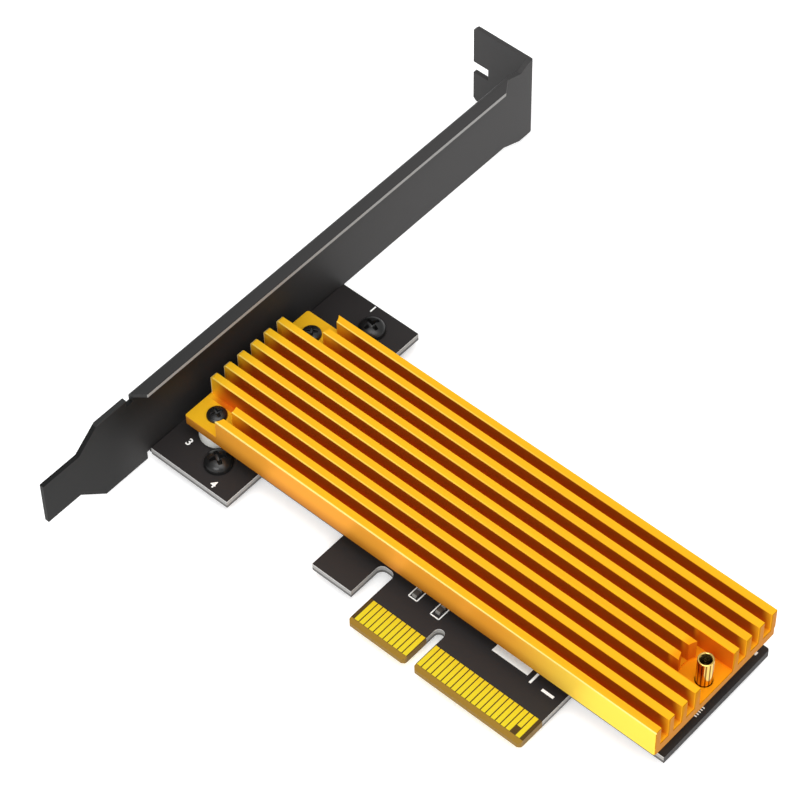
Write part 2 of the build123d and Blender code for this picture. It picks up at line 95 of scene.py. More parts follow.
# %% Colours and a plain finish
def linear(red, green, blue):
    """Screen colour to linear: (c / 255 + 0.055) / 1.055 to the power 2.4, c / 255 / 12.92 when dark."""
    screen = np.array([red, green, blue], dtype=float) / 255.0
    light = np.where(screen > 0.04045, ((screen + 0.055) / 1.055) ** 2.4, screen / 12.92)
    return (*[float(value) for value in light], 1.0)


def finish(name, colour, metal=0.0, rough=0.5, gloss=0.5, tint=(255, 255, 255)):
    """A Principled material: colour, metalness, roughness, and gloss (specular level) with its tint."""
    material = bpy.data.materials.new(name)
    material.use_nodes = True
    shader = material.node_tree.nodes["Principled BSDF"]
    shader.inputs["Base Color"].default_value = linear(*colour)
    shader.inputs["Metallic"].default_value = metal
    shader.inputs["Roughness"].default_value = rough
    shader.inputs["Specular IOR Level"].default_value = gloss
    shader.inputs["Specular Tint"].default_value = linear(*tint)
    return material


print("linear grey 128:", round(linear(128, 128, 128)[0], 3))

# %% [markdown]
# ## Patterns that follow the surface
# One solid can show several finishes: solder mask on a face and glass fibre where it is sawn.
# A mask is a number from 0 to 1 at each point, reckoned from the object's own coordinates, so
# each finish keeps its place from every side. Masks multiply where they must overlap, and paint
# is laid in layers, each over what is below it.

# %% Masks and paint for one material
# Sockets of a Mix node that blends colours: the colour below, the colour laid over it, the result.
mix_below, mix_above, mix_result = 6, 7, 2


class Pattern:
    """Masks for one material, reckoned from the object's own coordinates x, y and z in metres."""

    def __init__(self, material):
        self.material = material
        self.shader = material.node_tree.nodes["Principled BSDF"]
        self.place = self.node("ShaderNodeTexCoord").outputs["Object"]
        split = self.node("ShaderNodeSeparateXYZ")
        self.join(self.place, split.inputs[0])
        self.x, self.y, self.z = split.outputs

    def node(self, kind, **settings):
        """A shader node of this kind, with its settings."""
        node = self.material.node_tree.nodes.new(kind)
        for key, value in settings.items():
            setattr(node, key, value)
        return node

    def join(self, value, socket):
        """Link an output to a socket, or write a colour or a number on the socket."""
        if isinstance(value, bpy.types.NodeSocket):
            self.material.node_tree.links.new(value, socket)
        elif isinstance(value, tuple):
            socket.default_value = value
        else:
            socket.default_value = float(value)

    def step(self, operation, first, second=0.0):
        """One step of arithmetic between two sockets or numbers."""
        step = self.node("ShaderNodeMath", operation=operation)
        self.join(first, step.inputs[0])
        self.join(second, step.inputs[1])
        return step.outputs[0]

    def above(self, value, level):
        """1 where the value is over the level, else 0."""
        return self.step("GREATER_THAN", value, level)

    def below(self, value, level):
        """1 where the value is under the level, else 0."""
        return self.step("LESS_THAN", value, level)

    def both(self, *masks):
        """Mask where all masks overlap: their product."""
        product = masks[0]
        for mask in masks[1:]:
            product = self.step("MULTIPLY", product, mask)
        return product

    def between(self, value, low, high):
        """1 where low < value < high: (value > low) times (value < high)."""
        return self.both(self.above(value, low), self.below(value, high))

    def inverse(self, mask):
        """One less the mask."""
        return self.step("SUBTRACT", 1.0, mask)

    def distance(self, value, middle):
        """How far a value lies from middle: the absolute difference."""
        return self.step("ABSOLUTE", self.step("SUBTRACT", value, middle))

    def rise(self, value, start, end):
        """0 up to start, 1 from end on, and a smooth S curve between them."""
        slope = self.node("ShaderNodeMapRange", interpolation_type="SMOOTHSTEP")
        self.join(start, slope.inputs["From Min"])
        self.join(end, slope.inputs["From Max"])
        self.join(value, slope.inputs["Value"])
        return slope.outputs["Result"]

    def fall(self, value, start, end):
        """1 up to start and 0 from end on: one less the rise."""
        return self.inverse(self.rise(value, start, end))

    def paint(self, ground, layers):
        """Base colour: the ground, with each (mask, colour) laid over what is below it."""
        colour = linear(*ground)
        for mask, layer in layers:
            mix = self.node("ShaderNodeMix", data_type="RGBA")
            self.join(mask, mix.inputs["Factor"])
            self.join(colour, mix.inputs[mix_below])
            self.join(linear(*layer), mix.inputs[mix_above])
            colour = mix.outputs[mix_result]
        self.join(colour, self.shader.inputs["Base Color"])

    def grain(self, size, height, stretch=(1.0, 1.0, 1.0)):
        """Fine unevenness: noise of this size in metres lifts the surface by this height."""
        mapping = self.node("ShaderNodeMapping")
        mapping.inputs["Scale"].default_value = stretch
        noise = self.node("ShaderNodeTexNoise")
        noise.inputs["Scale"].default_value = 1.0 / size
        noise.inputs["Detail"].default_value = 2.0
        bump = self.node("ShaderNodeBump")
        bump.inputs["Strength"].default_value = 1.0
        bump.inputs["Distance"].default_value = height
        self.join(self.place, mapping.inputs["Vector"])
        self.join(mapping.outputs[0], noise.inputs["Vector"])
        self.join(noise.outputs["Fac"], bump.inputs["Height"])
        self.join(bump.outputs[0], self.shader.inputs["Normal"])


print("pattern tools:", [name for name in vars(Pattern) if not name.startswith("_")])

# %% [markdown]
# ## The circuit board
# Height Z tells a face from a cut edge, and distance Y tells the contact edge from the rest. On
# the cut edge the pale outer layers and the core show as bands below the top face. Near the
# contacts the solder mask ends and the tan laminate shows between the gold strips.

# %% Solder mask on the faces, glass fibre on the cut edges
board_low, board_high = box_of("circuit_board")
contacts_low, contacts_high = box_of("component_side_contacts")
skin = 0.01 * MM
seam = 0.05 * MM
outer_layer = 0.30 * MM
core_start, core_end = 0.36 * MM, 0.95 * MM
bevel_end_y = 0.9 * MM
tongue_margin = 1.0 * MM
board_black = finish("board_black", (40, 37, 37), rough=0.55, gloss=0.25)
board = Pattern(board_black)
under_top = board.step("SUBTRACT", board_high[2], board.z)
laminate = board.both(
    board.below(board.y, contacts_high[1] + seam),
    board.between(board.x, contacts_low[0] - tongue_margin, contacts_high[0] + tongue_margin))
cut_edge = board.both(
    board.between(board.z, board_low[2] + skin, board_high[2] - skin),
    board.below(board.x, board_high[0] - seam))
core = board.both(cut_edge, board.between(under_top, core_start, core_end))
upper_layer = board.both(cut_edge, board.below(under_top, outer_layer))
bare_edge = board.both(cut_edge, laminate)
bevel = board.both(cut_edge, board.below(board.y, bevel_end_y - skin))
board.paint((40, 37, 37), [
    (laminate, (72, 52, 10)),
    (cut_edge, (98, 97, 96)),
    (core, (166, 165, 163)),
    (upper_layer, (204, 203, 201)),
    (bare_edge, (120, 92, 34)),
    (bevel, (140, 106, 26)),
])
print("board thickness:", round((board_high[2] - board_low[2]) / MM, 2), "mm")

# %% [markdown]
# ## The coated bracket
# The bracket is steel under a black coat, so to the shader it isn't a metal. Painted light is
# laid into the coat's colour: a painted reflection that lightens it towards the screw tab, painted
# light on the flange, painted light that lifts the shade low on the inner face behind the fins,
# and a pale line on the flange's edge that is a rubbed edge and a painted highlight together.

# %% Black coat with painted light, a painted reflection and a painted edge highlight
bracket_black = finish("bracket_black", (34, 34, 35), rough=0.56, gloss=0.22)
coat = Pattern(bracket_black)
flange_z = 15.3 * MM
tone_start_y, tone_end_y = -10.0 * MM, 90.0 * MM
patch_start_y, patch_full_y = -4.0 * MM, 3.0 * MM
patch_fading_y, patch_end_y = 30.0 * MM, 38.0 * MM
patch_full_z, patch_end_z = 5.0 * MM, 14.0 * MM
mid_sheet_x = -0.4 * MM
edge_low_x, edge_high_x = 1.86 * MM, 2.1 * MM
edge_low_z, edge_high_z = 15.2 * MM, 15.9 * MM
# Painted light: the flange is painted lighter than the rest of the coat.
flange = coat.above(coat.z, flange_z)
# Painted reflection: the coat is painted lighter towards the screw tab.
tab_reflection_tone = coat.rise(coat.y, tone_start_y, tone_end_y)
# Painted light: lifts the shade low on the inner face behind the fins.
fin_shade_lift = coat.both(
    coat.rise(coat.y, patch_start_y, patch_full_y),
    coat.fall(coat.y, patch_fading_y, patch_end_y),
    coat.fall(coat.z, patch_full_z, patch_end_z), coat.above(coat.x, mid_sheet_x))
# A rubbed edge and a painted highlight together: a pale line along the flange's edge.
worn_edge_highlight = coat.both(
    coat.between(coat.x, edge_low_x, edge_high_x), coat.between(coat.z, edge_low_z, edge_high_z))
coat.paint((11, 11, 11), [
    (flange, (40, 40, 40)),
    (tab_reflection_tone, (58, 57, 57)),
    (fin_shade_lift, (42, 41, 41)),
    (worn_edge_highlight, (152, 151, 149)),
])
coat_grain, coat_relief = 0.35 * MM, 0.003 * MM
coat.grain(coat_grain, coat_relief)
print("flange starts at z", round(flange_z / MM, 1), "mm")

# %% [markdown]
# ## The gold heatsink
# Anodised aluminium is a dyed, slightly metallic skin. Between the fins the light bounces from
# gold to gold and turns red brown, and that shade is painted into the channels as a darker layer.
# The channels are found from the fins' own measure: depth under the fin tops, distance along Y,
# and away from both ends. The painted shade fades out towards the corner blocks, and the post's
# pocket has painted shade of its own. Further layers paint light and shade on the sides, the fin
# tips and the edges.

# %% Places on the heatsink
heatsink_low, heatsink_high = box_of("heatsink")
post_low, post_high = box_of("retaining_post")
post_centre = (post_low[:2] + post_high[:2]) / 2.0
fin_count, fin_thick, base_thick = 10, 1.35 * MM, 1.8 * MM
corner_block_x = 10.45 * MM
near_end_x, near_side_y, heatsink_under_z = heatsink_low
far_end_x, far_side_y, fin_top_z = heatsink_high
fin_pitch = (far_side_y - near_side_y - fin_thick) / (fin_count - 1)
base_top_z = heatsink_under_z + base_thick
middle_y = (near_side_y + far_side_y) / 2.0
print("fin pitch:", round(fin_pitch / MM, 3), "mm")

# %% Masks for the painted shade in the channels and the pocket
gold_anodised = finish("gold_anodised", (250, 182, 30), metal=0.3, rough=0.4, gloss=0.08,
                       tint=(255, 186, 30))
gold = Pattern(gold_anodised)
corner_fade = 5.0 * MM
pocket_reach, pocket_fade, pocket_half_width = 5.6 * MM, 1.5 * MM, 4.2 * MM
side_margin, face_margin = 0.4 * MM, 0.1 * MM
tip_length, near_fade = 0.3 * MM, 4.0 * MM
far_fade = 2.2 * MM
wall_start, wall_full = 0.05 * MM, 0.3 * MM
floor_start, floor_full = 0.6 * MM, 4.0 * MM
depth = gold.step("SUBTRACT", fin_top_z, gold.z)
outer_channels = gold.above(gold.distance(gold.y, middle_y), 3.0 * fin_pitch)
corner_blocks = gold.both(
    gold.fall(gold.x, corner_block_x, corner_block_x + corner_fade), outer_channels)
pocket_start_x = post_centre[0] - pocket_reach
pocket = gold.both(
    gold.rise(gold.x, pocket_start_x, pocket_start_x + pocket_fade),
    gold.below(gold.distance(gold.y, post_centre[1]), pocket_half_width))
channels = gold.both(
    gold.between(gold.y, near_side_y + side_margin, far_side_y - side_margin),
    gold.rise(gold.x, near_end_x + tip_length, near_end_x + near_fade),
    gold.fall(gold.x, far_end_x - far_fade, far_end_x - face_margin),
    gold.inverse(corner_blocks), gold.inverse(pocket),
    gold.rise(depth, wall_start, wall_full),
    gold.above(gold.z, base_top_z - face_margin))
# Painted light: the deep parts of the channels are painted a lighter orange, lifting their shade.
channel_floor_light = gold.both(channels, gold.rise(depth, floor_start, floor_full))
# Painted shade on the walls of the post's pocket.
pocket_wall_shade = gold.both(pocket, gold.between(gold.z, base_top_z, fin_top_z - face_margin))
print("channels between the fins:", fin_count - 1)

# %% Masks for the painted light and shade on the sides and the edges
near_tone_start, near_tone_end = 1.0 * MM, 9.0 * MM
orange_fade_start, orange_fade_end = 64.0 * MM, 88.0 * MM
low_side_start, low_side_full = 2.5 * MM, 7.5 * MM
side_skin, side_edge_depth = 0.12 * MM, 0.28 * MM
edge_lead, edge_width, edge_depth = 0.1 * MM, 0.3 * MM, 0.16 * MM
edges_full, edges_end = 12.0 * MM, 20.0 * MM
# Painted light near the bracket end, lifting the shade that the bracket casts there.
near_start_light = gold.fall(gold.x, near_end_x + near_tone_start, near_end_x + near_tone_end)
near_side = gold.below(gold.y, near_side_y + side_skin)
# Painted shade: the near side is orange near the bracket, fading to pale towards the far end.
side_shade_gradient = gold.both(
    near_side, gold.fall(gold.x, near_end_x + orange_fade_start, near_end_x + orange_fade_end))
# Painted shade: darker low on the near side.
low_side_shade = gold.both(side_shade_gradient, gold.rise(depth, low_side_start, low_side_full))
# Painted highlight along the near side's top edge.
side_edge_highlight = gold.both(near_side, gold.below(depth, side_edge_depth))
# Painted shade: the far end faces are painted darker.
far_face_shade = gold.above(gold.x, far_end_x - side_skin)
# Painted light on the fin tips that face the bracket.
fin_tip_light = gold.both(gold.above(gold.z, base_top_z), gold.below(gold.x, near_end_x + tip_length))
# Painted highlights: a pale line along each fin's near top edge.
past_fin_edge = gold.step(
    "FLOORED_MODULO", gold.step("SUBTRACT", gold.y, near_side_y - edge_lead), fin_pitch)
fin_edge_highlights = gold.both(
    gold.below(past_fin_edge, edge_width), gold.below(depth, edge_depth),
    gold.fall(gold.x, near_end_x + edges_full, far_end_x - edges_end))
print("near side lies at y", round(near_side_y / MM, 2), "mm")

# %% Gold paint with painted light and shade, from the ground up
gold_layers = [
    # Painted light near the bracket end.
    (near_start_light, (252, 194, 38)),
    # Painted sheen: the near side is painted pale yellow.
    (near_side, (255, 222, 84)),
    # Painted shade along the near side.
    (side_shade_gradient, (240, 164, 56)),
    # Painted shade low on the near side.
    (low_side_shade, (160, 92, 24)),
    # Painted shade between the fins.
    (channels, (160, 74, 14)),
    # Painted light deep in the channels.
    (channel_floor_light, (232, 124, 26)),
    # Painted shade in the post's pocket.
    (pocket, (244, 156, 22)),
    # Darker painted shade on the pocket's walls.
    (pocket_wall_shade, (214, 112, 18)),
    # Painted shade on the far end faces.
    (far_face_shade, (186, 122, 4)),
    # Painted light on the fin tips.
    (fin_tip_light, (255, 228, 164)),
    # Painted highlights along the fins' top edges.
    (fin_edge_highlights, (255, 216, 96)),
    # Painted highlight along the near side's top edge.
    (side_edge_highlight, (255, 232, 140)),
]
gold.paint((246, 179, 34), gold_layers)
rolled_grain, rolled_relief, rolled_stretch = 0.5 * MM, 0.0015 * MM, (0.08, 1.0, 1.0)
gold.grain(rolled_grain, rolled_relief, rolled_stretch)
print("gold paint layers:", len(gold_layers))

# %% [markdown]
# ## Brass, chips and the plain finishes
# The post is brass with painted reflections: dark lines along it, whose paint follows the angle
# round its axis, and painted shade inside the bore. The chips and capacitors are dark ceramic
# with tinned ends. All other finishes are the same all over.

# %% Brass post with painted reflection lines and painted shade in the bore
brass = finish("brass", (226, 196, 120), metal=1.0, rough=0.16)
turned = Pattern(brass)
reflection_line_count = 13
bore_edge_radius = 1.06 * MM
aside_x = turned.step("SUBTRACT", turned.x, post_centre[0])
aside_y = turned.step("SUBTRACT", turned.y, post_centre[1])
radius_squared = turned.step(
    "ADD", turned.step("MULTIPLY", aside_x, aside_x), turned.step("MULTIPLY", aside_y, aside_y))
under_rim = turned.below(turned.z, post_high[2] - 0.1 * MM)
angle = turned.step("ARCTAN2", aside_y, aside_x)
wave = turned.step("SINE", turned.step("MULTIPLY", angle, reflection_line_count))
# Painted reflection: dark lines along the post, by the angle round its axis.
reflection_lines = turned.both(turned.rise(wave, -0.2, 0.9), under_rim)
# Painted shade inside the bore.
bore_shade = turned.both(turned.below(radius_squared, bore_edge_radius ** 2), under_rim)
turned.paint((226, 190, 104), [(reflection_lines, (120, 84, 34)), (bore_shade, (150, 138, 104))])
print("post centre:", np.round(post_centre / MM, 2), "mm")

# %% Ceramic chips with tinned ends
ceramic = finish("ceramic", (64, 56, 50), rough=0.5)
chip_paint = Pattern(ceramic)
cap_start = 0.62
end_caps = []
for node_name in ("signal_part_1", "signal_part_2", "filter_capacitor_1", "filter_capacitor_2"):
    low, high = box_of(node_name)
    half = (high[1] - low[1]) / 2.0
    reach = chip_paint.distance(chip_paint.y, low[1] + half)
    cap = chip_paint.both(chip_paint.between(chip_paint.x, low[0] - skin, high[0] + skin),
                          chip_paint.between(reach, cap_start * half, half + skin))
    end_caps.append((cap, (140, 138, 134)))
chip_paint.paint((78, 72, 68), end_caps)
print("tinned ends:", 2 * len(end_caps))

# %% Plain finishes, and every node dressed
finish_of_slot = {
    "bracket_black": bracket_black,
    "board_black": board_black,
    "gold_anodised": gold_anodised,
    "brass": brass,
    "ceramic": ceramic,
    "contact_gold": finish("contact_gold", (238, 216, 42), metal=0.8, rough=0.36),
    "screw_black": finish("screw_black", (22, 22, 22), rough=0.32),
    "white_nylon": finish("white_nylon", (236, 236, 230), rough=0.45),
    "tinned": finish("tinned", (205, 205, 205), metal=1.0, rough=0.3),
    "socket_plastic": finish("socket_plastic", (30, 29, 29), rough=0.45),
    "pad_grey": finish("pad_grey", (126, 132, 140), rough=0.8),
}


def wear(node_name, material):
    """Put one material in every material slot of a CAD node's object."""
    piece = nodes_by_name[node_name]
    if not piece.data.materials:
        piece.data.materials.append(material)
    for index in range(len(piece.data.materials)):
        piece.data.materials[index] = material


for node_name, slot_name in slot_of_node.items():
    wear(node_name, finish_of_slot[slot_name])
print("nodes dressed:", len(slot_of_node))

# %% [markdown]
# ## Pieces that stand for a solid
# The CAD meshes are never changed. Where the picture needs a finer shape, a new object is made
# at the origin, with its place in its mesh, and it is shown in place of the solid. It keeps the
# solid's slot and finish, so the part is still made of the same pieces.

# %% New pieces that ride on the part
def new_piece(name, mesh):
    """An object at the origin that shows this mesh and is fixed to the part."""
    piece = bpy.data.objects.new(name, mesh)
    bpy.context.scene.collection.objects.link(piece)
    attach(piece, "root")
    return piece


def stand_for(node_name, piece):
    """Show a piece in place of a CAD node, with that node's slot and finish."""
    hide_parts(node_name)
    piece.data.materials.clear()
    piece.data.materials.append(finish_of_slot[slot_of_node[node_name]])
    return piece


def weld(mesh, reach):
    """Edit tool on a mesh whose corners nearer than reach are merged."""
    shell = bmesh.new()
    shell.from_mesh(mesh)
    bmesh.ops.remove_doubles(shell, verts=shell.verts, dist=reach)
    return shell


print("slots on the part:", len(finish_of_slot))

# %% [markdown]
# ## Rounded machined edges
# A saw or a press never leaves a perfectly sharp edge, and that small rounding catches the light
# along each fin; the thin pale line along each fin is also a painted highlight in the gold paint.
# The CAD mesh is loose triangles, so a copy of it is welded and its flat faces are joined first,
# and then a Bevel modifier rounds the sharp edges only. The copy stands for the node in the picture.

# %% A welded copy with rounded edges
flat_angle, sharp_angle = radians(0.5), radians(30)


def rounded_copy(node_name, radius):
    """Copy of a node's mesh, welded, with every edge over the sharp angle rounded by radius."""
    mesh = nodes_by_name[node_name].data.copy()
    shell = weld(mesh, 0.001 * MM)
    bmesh.ops.dissolve_limit(shell, angle_limit=flat_angle, verts=shell.verts, edges=shell.edges)
    shell.to_mesh(mesh)
    shell.free()
    mesh.shade_smooth()
    mesh.set_sharp_from_angle(angle=sharp_angle)
    piece = stand_for(node_name, new_piece(node_name + "_rounded", mesh))
    bevel = piece.modifiers.new("rounded edges", "BEVEL")
    bevel.width = radius
    bevel.segments = 2
    bevel.limit_method = "ANGLE"
    bevel.angle_limit = sharp_angle
    bevel.harden_normals = True
    bevel.use_clamp_overlap = True
    return piece


heatsink_piece = rounded_copy("heatsink", 0.09 * MM)
bracket_piece = rounded_copy("bracket", 0.08 * MM)
print("faces before rounding:", len(heatsink_piece.data.polygons), len(bracket_piece.data.polygons))

# %% [markdown]
# ## Turned and threaded parts
# The screws, the brass post and the nylon spacers are round parts. Each is a profile turned
# about its own axis: radius and height as a function of the step along the profile and of the
# angle. Letting the radius ripple with height and angle cuts a real helical thread, and letting
# the height dip along two crossed bars cuts the recess for the driver. The CAD solids are plain
# there, so these pieces stand for them and keep their outer sizes.

# %% A turned surface
turn_steps = 144
turn_angles = np.linspace(0.0, 2.0 * np.pi, turn_steps, endpoint=False)
turned_sharp_angle = radians(38)


def all_round(rows):
    """Rows of a profile with one column for each angle; a plain number is repeated all round."""
    rows = np.asarray(rows, dtype=float).reshape(len(rows), -1)
    return np.broadcast_to(rows, (len(rows), turn_steps))


def turned_points(radius, height, centre):
    """Grid point = centre + (radius cos angle, radius sin angle, height); rows follow the profile."""
    radius = all_round(radius)
    return np.stack([centre[0] + radius * np.cos(turn_angles),
                     centre[1] + radius * np.sin(turn_angles), all_round(height)], axis=2)


def turned_piece(node_name, grids):
    """One welded mesh from the grids; it stands for the CAD node and closes at the axis."""
    corners, faces, first = [], [], 0
    for grid in grids:
        rows = grid.shape[0]
        row, column = np.meshgrid(np.arange(rows - 1), np.arange(turn_steps), indexing="ij")
        beside = (column + 1) % turn_steps
        quads = np.stack([row * turn_steps + column, row * turn_steps + beside,
                          (row + 1) * turn_steps + beside, (row + 1) * turn_steps + column], axis=2)
        corners.append(grid.reshape(-1, 3))
        faces.append(quads.reshape(-1, 4) + first)
        first += rows * turn_steps
    mesh = bpy.data.meshes.new(node_name + "_turned")
    mesh.from_pydata(np.concatenate(corners).tolist(), [], np.concatenate(faces).tolist())
    shell = weld(mesh, 0.0005 * MM)
    bmesh.ops.recalc_face_normals(shell, faces=shell.faces)
    shell.to_mesh(mesh)
    shell.free()
    mesh.shade_smooth()
    mesh.set_sharp_from_angle(angle=turned_sharp_angle)
    return stand_for(node_name, new_piece(node_name + "_turned", mesh))


print("steps round a turned part:", turn_steps)

# %% Thread and driver recess
fullness = 2.6
blur = 0.07 * MM
bar_taper, floor_slope, thinnest = 0.35, 0.45, 0.1


def thread(radius, depth, pitch, height):
    """Helix: radius less depth times a triangle wave of (height / pitch + angle / turn)."""
    turns = np.asarray(height, dtype=float)[:, None] / pitch + turn_angles[None, :] / (2.0 * np.pi)
    wave = np.abs(2.0 * (turns - np.floor(turns)) - 1.0)
    return radius - depth * wave


def smooth_step(value, start, end):
    """0 before start, 1 after end, and 3t^2 - 2t^3 in between."""
    t = np.clip((value - start) / (end - start), 0.0, 1.0)
    return t * t * (3.0 - 2.0 * t)


def head_height(radius, head_radius, head_tall, arm, width, depth, twist):
    """Domed head less a cross: tall (1 - (r / R)^n)^(1 / n), minus depth inside two crossed bars."""
    dome = head_tall * (1.0 - np.clip(radius / head_radius, 0.0, 1.0) ** fullness) ** (1.0 / fullness)
    across = radius * np.cos(turn_angles + twist)
    along = radius * np.sin(turn_angles + twist)
    taper = width * (1.0 - bar_taper * radius / arm)
    bars = [smooth_step(taper - np.abs(side), -blur, blur) * smooth_step(arm - np.abs(length), -blur, blur)
            for side, length in ((across, along), (along, across))]
    cross = np.maximum(*bars)
    recess = depth * (1.0 - floor_slope * np.clip(radius / arm, 0.0, 1.0))
    return np.maximum(dome - recess * cross, thinnest * head_tall)


crest, root = thread(1.0, 0.1, 1.0, [0.0]).max(), thread(1.0, 0.1, 1.0, [0.0]).min()
print("sample thread, crest and root radius:", round(crest, 3), round(root, 3))

# %% Screws with domed heads
head_rings, shank_rings = 44, 64
recess_arm, recess_width, recess_depth = 0.58, 0.17, 0.62
screw_thread_pitch, screw_tip_height = 0.45 * MM, 0.2 * MM


def screw_points(centre, seat_z, end_z, head_radius, head_tall, shank_radius, twist):
    """Profile from the top of the head over its rim, under it and down the threaded shank."""
    ring = all_round(np.linspace(0.0, 1.0, head_rings) ** 0.9 * head_radius)
    head = seat_z + head_height(ring, head_radius, head_tall, recess_arm * head_radius,
                                recess_width * head_radius, recess_depth * head_tall, twist)
    head[-1] = seat_z
    shank_z = np.linspace(seat_z, end_z + screw_tip_height, shank_rings)
    shank = thread(shank_radius, 0.12 * shank_radius, screw_thread_pitch, shank_z)
    shank[0] = shank_radius
    radius = np.concatenate([ring, shank, all_round([0.7 * shank_radius, 0.0])])
    height = np.concatenate([head, all_round(shank_z), all_round([end_z, end_z])])
    return turned_points(radius, height, centre)


def node_pair(node_name):
    """Centres of a node's two screws, which lie at both Y ends of its box, the box and a head's radius."""
    low, high = box_of(node_name)
    reach = (high[0] - low[0]) / 2.0
    middle_x = (high[0] + low[0]) / 2.0
    return [(middle_x, low[1] + reach), (middle_x, high[1] - reach)], low, high, reach


screw_table = (
    ("bracket_screws", board_high[2], 1.25 * MM, (0.5, 0.2)),
    ("heatsink_screws", base_top_z, 1.0 * MM, (0.35, 0.9)))
for node_name, seat_z, shank_radius, twists in screw_table:
    centres, low, high, reach = node_pair(node_name)
    turned_piece(node_name, [
        screw_points(centre, seat_z, low[2], reach, high[2] - seat_z, shank_radius, twist)
        for centre, twist in zip(centres, twists)])
    print(node_name, "head radius:", round(reach / MM, 2), "mm")

# %% The brass post: a tube with an inner thread
post_radius = (post_high[0] - post_low[0]) / 2.0
post_top, post_foot, post_waist = post_high[2], post_low[2], 5.0 * MM
bore_radius, bore_depth, bore_rings = 0.87 * MM, 5.0 * MM, 90
bore_thread_depth, bore_thread_pitch = 0.1 * MM, 0.4 * MM
screw_hole_radius, screw_hole_top = 1.0 * MM, 3.8 * MM
bore_z = np.linspace(post_top - bore_depth, post_top - 0.3 * MM, bore_rings)
bore = thread(bore_radius + bore_thread_depth, bore_thread_depth, bore_thread_pitch, bore_z)
rim = [(bore_radius + 0.15 * MM, post_top - 0.14 * MM),
       (bore_radius + 0.22 * MM, post_top - 0.02 * MM),
       (bore_radius + 0.26 * MM, post_top), (post_radius - 0.14 * MM, post_top),
       (post_radius - 0.05 * MM, post_top - 0.04 * MM), (post_radius, post_top - 0.14 * MM),
       (post_radius, post_waist), (post_radius, post_foot), (screw_hole_radius, post_foot),
       (screw_hole_radius, screw_hole_top), (0.0, screw_hole_top)]
rim_radius, rim_height = np.array(rim).T
post_radii = np.concatenate([all_round([0.0]), bore, all_round(rim_radius)])
post_heights = np.concatenate([[bore_z[0]], bore_z, rim_height])
turned_piece("retaining_post", [turned_points(post_radii, post_heights, post_centre)])
print("post height:", round(float(post_top - post_foot) / MM, 2), "mm")

# %% Nylon spacers with softened rims
inner, soft = 1.15 * MM, 0.25 * MM
turn = np.linspace(0.0, np.pi / 2.0, 6)
for name in ("heatsink_spacer_1", "heatsink_spacer_2"):
    low, high = box_of(name)
    centre = (low[:2] + high[:2]) / 2.0
    outer = (high[0] - low[0]) / 2.0
    upper = np.stack([outer - soft + soft * np.sin(turn), high[2] - soft + soft * np.cos(turn)], axis=1)
    lower = np.stack([outer - soft + soft * np.cos(turn), low[2] + soft - soft * np.sin(turn)], axis=1)
    ends = np.array([[inner, low[2]], [inner, high[2]]])
    profile = np.concatenate([[ends[1]], upper, lower, ends])
    turned_piece(name, [turned_points(profile[:, 0], profile[:, 1], centre)])
    print(name, "height:", round(float(high[2] - low[2]) / MM, 2), "mm")

# %% [markdown]
# ## White printing on the board
# The marks are a film of white ink a few hundredths of a millimetre thick. Each stroke is a
# flat bar from one point to another, so all strokes go into one mesh as arrays: eight corners
# from a start, an end and a width.

# %% Strokes of white ink
ink_thickness = 0.02 * MM


def ink_strokes(name, strokes, material):
    """One mesh of flat bars: each corner is an end of the stroke, half a width to one side."""
    table = np.array(strokes, dtype=float) * MM
    start, end, width = table[:, 0:2], table[:, 2:4], table[:, 4:5]
    along = (end - start) / np.linalg.norm(end - start, axis=1, keepdims=True)
    aside = np.stack([-along[:, 1], along[:, 0]], axis=1) * width / 2.0
    ring = np.stack([start - aside, end - aside, end + aside, start + aside], axis=1)
    low = np.concatenate([ring, np.zeros(ring.shape[:2] + (1,))], axis=2)
    high = np.concatenate([ring, np.full(ring.shape[:2] + (1,), ink_thickness)], axis=2)
    corners = np.concatenate([low, high], axis=1).reshape(-1, 3)
    faces = np.array([[3, 2, 1, 0], [4, 5, 6, 7], [0, 1, 5, 4], [1, 2, 6, 5], [2, 3, 7, 6],
                      [3, 0, 4, 7]])
    all_faces = (faces[None] + 8 * np.arange(len(table))[:, None, None]).reshape(-1, 4)
    mesh = bpy.data.meshes.new(name)
    mesh.from_pydata(corners.tolist(), [], all_faces.tolist())
    mesh.materials.append(material)
    return new_piece(name, mesh)


def outline_strokes(low_x, low_y, high_x, high_y, width):
    """Four strokes round a rectangle."""
    return [(low_x, low_y, high_x, low_y, width), (high_x, low_y, high_x, high_y, width),
            (high_x, high_y, low_x, high_y, width), (low_x, high_y, low_x, low_y, width)]


white_ink = finish("white_ink", (255, 255, 252), rough=0.6)
chip_frames = (outline_strokes(51.65, 9.8, 53.4, 12.2, 0.2)
               + outline_strokes(56.55, 9.4, 58.3, 12.2, 0.2))
label_block = [(68.3, 11.2, 75.55, 11.2, 1.45), (76.66, 9.65, 76.66, 11.8, 0.42)]
far_marks = [(78.9, 9.92, 81.25, 9.92, 0.5), (99.55, 36.5, 99.55, 37.2, 0.6)]
far_comb = [(99.4, y, 99.95, y, 0.22) for y in np.arange(21.6, 24.0, 0.5)]
marks = ink_strokes("printed_marks", chip_frames + label_block + far_marks + far_comb, white_ink)
print("ink strokes:", len(marks.data.polygons) // 6)

